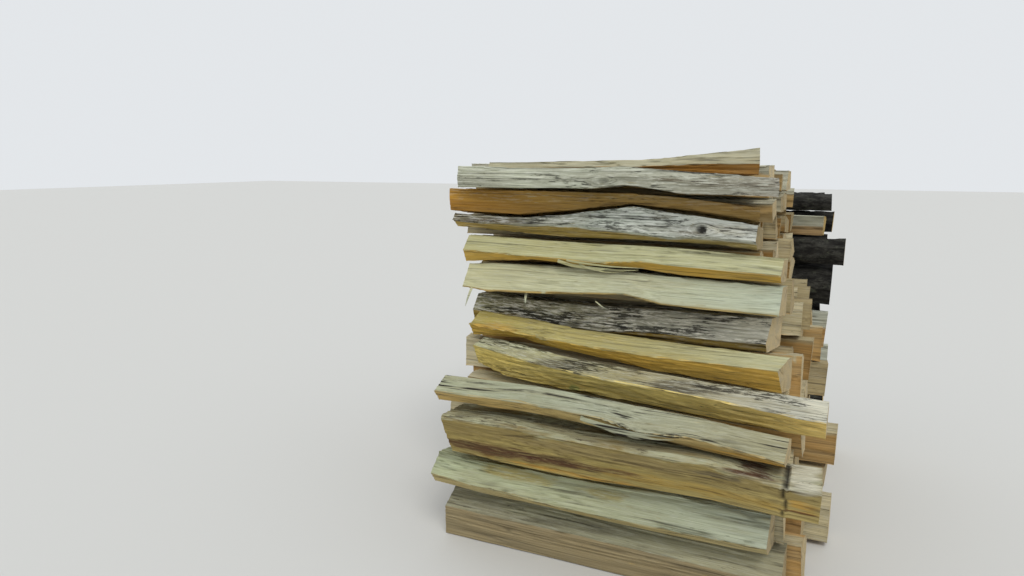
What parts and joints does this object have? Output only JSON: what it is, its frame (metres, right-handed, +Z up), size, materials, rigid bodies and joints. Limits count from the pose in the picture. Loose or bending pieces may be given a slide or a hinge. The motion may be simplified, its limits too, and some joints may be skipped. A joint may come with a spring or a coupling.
{
  "type": "heap of split logs",
  "caption": "Square heap of split hardwood logs laid side by side in courses, about a metre long, with some rough bark-on logs along the rear.",
  "frame": {"origin": "middle of the heap's plan at ground level", "axes": "+X along the logs to the right as the front face is looked at, +Y from the front face to the back, +Z up"},
  "size_m": [1.2568, 1.4726, 1.1972],
  "materials": {
    "weathered_split_wood": "split hardwood, weathered pale grey-green on top and orange-brown beneath",
    "split_wood": "split hardwood, dull and fibrous, with sawn ends",
    "bark_wood": "dark rough bark with pale sawn ends"
  },
  "bodies": {
    "root": {"bark_log_01": "bark_wood", "bark_log_02": "bark_wood", "bark_log_03": "bark_wood", "bark_log_04": "bark_wood", "bark_log_05": "bark_wood", "bark_log_06": "bark_wood", "bark_log_07": "bark_wood", "bark_log_08": "bark_wood", "bark_log_09": "bark_wood", "bark_log_10": "bark_wood", "bark_log_11": "bark_wood", "course_01": "split_wood", "course_02": "split_wood", "course_03": "split_wood", "course_04": "split_wood", "course_05": "split_wood", "course_06": "split_wood", "course_07": "split_wood", "course_08": "split_wood", "course_09": "split_wood", "course_10": "split_wood", "course_11": "split_wood", "front_log_01": "weathered_split_wood", "front_log_02": "weathered_split_wood", "front_log_03": "weathered_split_wood", "front_log_04": "weathered_split_wood", "front_log_05": "weathered_split_wood", "front_log_06": "weathered_split_wood", "front_log_07": "weathered_split_wood", "front_log_08": "weathered_split_wood", "front_log_09": "weathered_split_wood", "front_log_10": "weathered_split_wood", "front_log_11": "weathered_split_wood", "front_log_12": "weathered_split_wood", "rear_log_01": "split_wood", "rear_log_02": "split_wood", "rear_log_03": "split_wood", "rear_log_04": "split_wood", "top_log_01": "weathered_split_wood"}
  },
  "joints": []
}
